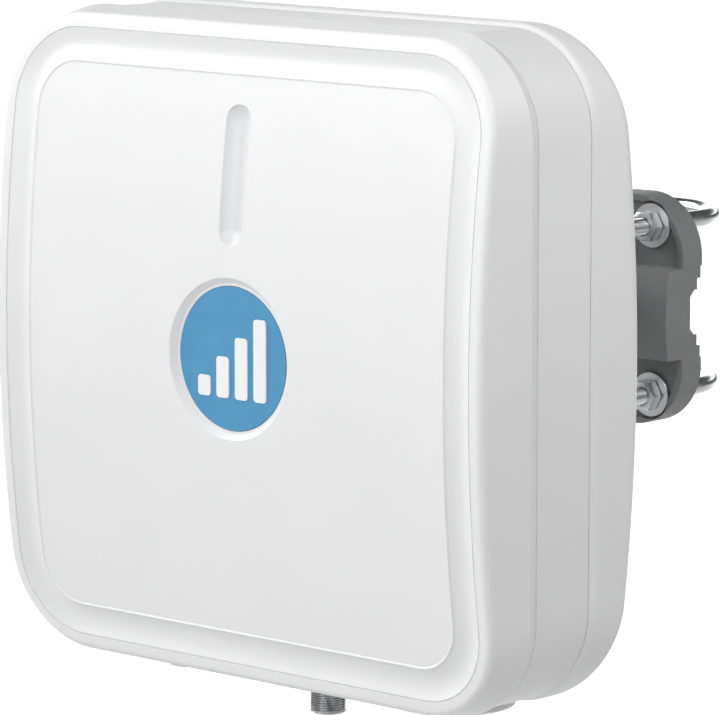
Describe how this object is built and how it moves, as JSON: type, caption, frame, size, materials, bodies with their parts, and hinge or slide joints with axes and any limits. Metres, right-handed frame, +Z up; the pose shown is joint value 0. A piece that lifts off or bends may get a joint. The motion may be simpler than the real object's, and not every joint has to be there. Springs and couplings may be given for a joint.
{
  "type": "outdoor wireless bridge",
  "caption": "Square weatherproof antenna and radio housing with a bowed front, tilting on a two-pivot arm from a toothed mast clamp with U-bolts.",
  "frame": {"origin": "the mast's axis, level with the middle of the mast clamp", "axes": "+Z up along the mast, -Y the way the antenna faces, +X to the right seen from the front"},
  "size_m": [0.293, 0.3197, 0.3085],
  "materials": {
    "white_plastic": "satin white UV-stable plastic",
    "blue_plastic": "matte blue plastic",
    "lens_plastic": "translucent white plastic",
    "dark_plastic": "satin dark grey glass-filled plastic",
    "bright_steel": "bright zinc-plated steel",
    "nickel": "nickel plate",
    "gold": "gold plate",
    "reflector_aluminium": "rolled sheet",
    "tinned_steel": "tinned sheet steel",
    "circuit_board": "green solder mask",
    "rubber": "moulded rubber",
    "cable_sheath": "black cable sheath",
    "nylon": "natural nylon"
  },
  "bodies": {
    "clamp": {"jaw": "dark_plastic", "jaw_pivot_bolt": "bright_steel", "jaw_pivot_nut": "bright_steel", "washer_upper_left": "bright_steel", "washer_upper_right": "bright_steel", "washer_lower_left": "bright_steel", "washer_lower_right": "bright_steel"},
    "ubolt_upper": {"ubolt_upper": "bright_steel"},
    "ubolt_lower": {"ubolt_lower": "bright_steel"},
    "nut_upper_left": {"nut_upper_left": "bright_steel"},
    "nut_upper_right": {"nut_upper_right": "bright_steel"},
    "nut_lower_left": {"nut_lower_left": "bright_steel"},
    "nut_lower_right": {"nut_lower_right": "bright_steel"},
    "arm": {"arm": "dark_plastic", "housing_pivot_bolt": "bright_steel", "housing_pivot_nut": "bright_steel"},
    "housing": {"front_shell": "white_plastic", "middle_frame": "white_plastic", "rear_shell": "white_plastic", "vent_plug": "white_plastic", "cable_cover": "white_plastic", "badge_disc": "blue_plastic", "light_window": "lens_plastic", "base_flange": "dark_plastic", "flange_screw_1": "bright_steel", "flange_screw_2": "bright_steel", "flange_screw_3": "bright_steel", "flange_screw_4": "bright_steel", "case_screw_1": "bright_steel", "case_screw_2": "bright_steel", "case_screw_3": "bright_steel", "case_screw_4": "bright_steel", "cover_screw_1": "bright_steel", "cover_screw_2": "bright_steel", "jack_body": "nickel", "jack_nut": "nickel", "board_standoff_1": "nickel", "board_standoff_2": "nickel", "board_standoff_3": "nickel", "board_standoff_4": "nickel", "jack_contact": "gold", "reflector_plate": "reflector_aluminium", "shield_can": "tinned_steel", "ethernet_jack": "tinned_steel", "antenna_board": "circuit_board", "radio_board": "circuit_board", "indicator_board": "circuit_board", "front_gasket": "rubber", "rear_gasket": "rubber", "jack_gasket": "rubber", "cover_gasket": "rubber", "cable_grommet": "rubber", "antenna_jumper": "cable_sheath", "jack_insulator": "nylon", "antenna_spacer_1": "nylon", "antenna_spacer_2": "nylon", "antenna_spacer_3": "nylon", "antenna_spacer_4": "nylon"}
  },
  "joints": [
    {"name": "jaw_tilt", "type": "hinge", "parent": "clamp", "child": "arm", "pos_m": [0, -0.067, 0], "axis": [1, 0, 0], "range_deg": [-25, 25]},
    {"name": "housing_tilt", "type": "hinge", "parent": "arm", "child": "housing", "pos_m": [0, -0.15, 0], "axis": [1, 0, 0], "range_deg": [-25, 25]},
    {"name": "ubolt_upper_draw", "type": "slide", "parent": "clamp", "child": "ubolt_upper", "axis": [0, -1, 0], "range_m": [-0.004, 0.02]},
    {"name": "ubolt_lower_draw", "type": "slide", "parent": "clamp", "child": "ubolt_lower", "axis": [0, -1, 0], "range_m": [-0.004, 0.02]},
    {"name": "nut_upper_left_turn", "type": "hinge", "parent": "clamp", "child": "nut_upper_left", "pos_m": [-0.0345, -0.0388, 0.0396], "axis": [0, -1, 0], "range_deg": [-1160, 5765]},
    {"name": "nut_upper_right_turn", "type": "hinge", "parent": "clamp", "child": "nut_upper_right", "pos_m": [0.0345, -0.0388, 0.0396], "axis": [0, -1, 0], "range_deg": [-1160, 5765]},
    {"name": "nut_lower_left_turn", "type": "hinge", "parent": "clamp", "child": "nut_lower_left", "pos_m": [-0.0345, -0.0388, -0.0396], "axis": [0, -1, 0], "range_deg": [-1160, 5765]},
    {"name": "nut_lower_right_turn", "type": "hinge", "parent": "clamp", "child": "nut_lower_right", "pos_m": [0.0345, -0.0388, -0.0396], "axis": [0, -1, 0], "range_deg": [-1160, 5765]}
  ],
  "couplings": [
    {"joint": "nut_upper_left_turn", "follows": "ubolt_upper_draw", "rad_per_m": 5026.5},
    {"joint": "nut_upper_right_turn", "follows": "ubolt_upper_draw", "rad_per_m": 5026.5},
    {"joint": "nut_lower_left_turn", "follows": "ubolt_lower_draw", "rad_per_m": 5026.5},
    {"joint": "nut_lower_right_turn", "follows": "ubolt_lower_draw", "rad_per_m": 5026.5}
  ]
}
